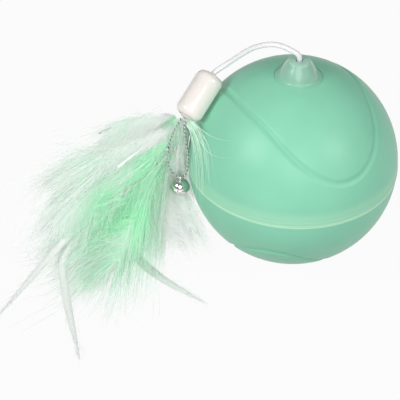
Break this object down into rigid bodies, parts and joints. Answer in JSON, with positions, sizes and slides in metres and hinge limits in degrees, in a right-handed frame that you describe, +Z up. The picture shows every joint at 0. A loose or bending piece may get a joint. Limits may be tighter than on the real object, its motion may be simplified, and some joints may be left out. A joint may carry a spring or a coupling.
{
  "type": "led cat ball",
  "caption": "Soft-skinned cat ball with wavy grooves and a geared drive pod inside, trailing a feather tail and a jingle bell from a cord at its pole.",
  "frame": {"origin": "centre of the flat that the ball rests on, at the foot of its rolling axis", "axes": "+Z up along the ball's axis through the nipple; the tail hangs to -X; -Y faces the viewer of the picture"},
  "size_m": [0.1395, 0.1106, 0.086],
  "materials": {
    "mint_skin": "satin",
    "mint_clear": "satin",
    "milky_shell": "gloss",
    "steel": "satin",
    "brass": "satin",
    "white_gear": "satin",
    "black_plastic": "matte",
    "pod_plastic": "satin",
    "board_green": "satin",
    "battery_sleeve": "satin",
    "red_lamp": "gloss",
    "red_lead": "satin",
    "cord_white": "satin",
    "ferrule_white": "gloss",
    "tinsel": "gloss",
    "chrome": "polished",
    "mint": "matte",
    "pale": "matte",
    "white": "matte"
  },
  "bodies": {
    "lower_half": {"lower_cover": "mint_skin", "lower_shell": "milky_shell", "axle": "steel", "axle_clip": "steel", "fixed_gear": "white_gear"},
    "upper_half": {"upper_cover": "mint_skin", "upper_shell": "milky_shell", "tail_nipple": "mint_clear", "upper_bush": "brass"},
    "drive_pod": {"chassis_base": "pod_plastic", "chassis_cover": "pod_plastic", "pod_bush": "brass", "drive_motor": "steel", "idler_pin": "steel", "counterweight": "steel", "battery_cell": "battery_sleeve", "circuit_board": "board_green", "usb_socket": "steel", "led_lamp_1": "red_lamp", "led_lamp_2": "red_lamp", "power_switch": "black_plastic", "cover_screw_1": "steel", "cover_screw_2": "steel", "cover_screw_3": "steel", "cover_screw_4": "steel", "board_screw_1": "steel", "board_screw_2": "steel", "motor_lead_red": "red_lead", "motor_lead_black": "black_plastic", "battery_lead_red": "red_lead", "battery_lead_black": "black_plastic"},
    "idler": {"idler_gear": "white_gear"},
    "motor_rotor": {"motor_pinion": "white_gear", "motor_shaft": "steel"},
    "button": {"power_button": "black_plastic"},
    "tail_anchor": {"cord_anchor": "cord_white"},
    "tail": {"tail_cord": "cord_white", "ferrule": "ferrule_white", "feather_binding": "cord_white", "upper_plume": "pale", "left_plume": "white", "lower_left_plume": "mint", "mint_plume": "mint", "right_plume": "white", "side_plume": "mint", "hackle_left": "white", "hackle_middle": "white", "hackle_right": "white"},
    "bell_loop": {"bell_string": "tinsel"},
    "bell": {"bell_shell": "chrome"},
    "pellet": {"bell_pellet": "steel"}
  },
  "joints": [
    {"name": "upper_half_pull", "type": "slide", "parent": "lower_half", "child": "upper_half", "axis": [0, 0, 1], "range_m": [0, 0.045]},
    {"name": "pod_turn", "type": "hinge", "parent": "lower_half", "child": "drive_pod", "pos_m": [0, 0, 0.03702], "axis": [0, 0, 1], "continuous": true},
    {"name": "idler_spin", "type": "hinge", "parent": "drive_pod", "child": "idler", "pos_m": [0.01088, -0.00507, 0.03702], "axis": [0, 0, 1], "continuous": true},
    {"name": "motor_spin", "type": "hinge", "parent": "drive_pod", "child": "motor_rotor", "pos_m": [0.00502, -0.01343, 0.03702], "axis": [0, 0, 1], "continuous": true},
    {"name": "button_press", "type": "slide", "parent": "drive_pod", "child": "button", "axis": [0, 0, -1], "range_m": [0, 0.0006], "stiffness_N_per_m": 500, "springref_m": -0.0003},
    {"name": "tail_swivel", "type": "hinge", "parent": "upper_half", "child": "tail_anchor", "pos_m": [0, 0, 0.08052], "axis": [0, 0, 1], "continuous": true},
    {"name": "tail_lift", "type": "hinge", "parent": "tail_anchor", "child": "tail", "pos_m": [0, 0, 0.08182], "axis": [0, 1, 0], "range_deg": [0, 60]},
    {"name": "bell_swing", "type": "hinge", "parent": "tail", "child": "bell_loop", "pos_m": [-0.0398, -0.00781, 0.05897], "axis": [-1, 0, 0], "range_deg": [0, 30]},
    {"name": "bell_tilt", "type": "hinge", "parent": "bell_loop", "child": "bell", "pos_m": [-0.0398, -0.00781, 0.03257], "axis": [1, 0, 0], "range_deg": [-20, 20]},
    {"name": "pellet_rattle", "type": "slide", "parent": "bell", "child": "pellet", "axis": [0, 0, 1], "range_m": [0, 0.002]}
  ],
  "couplings": [
    {"joint": "idler_spin", "follows": "pod_turn", "ratio": 3},
    {"joint": "motor_spin", "follows": "pod_turn", "ratio": -7.2}
  ]
}
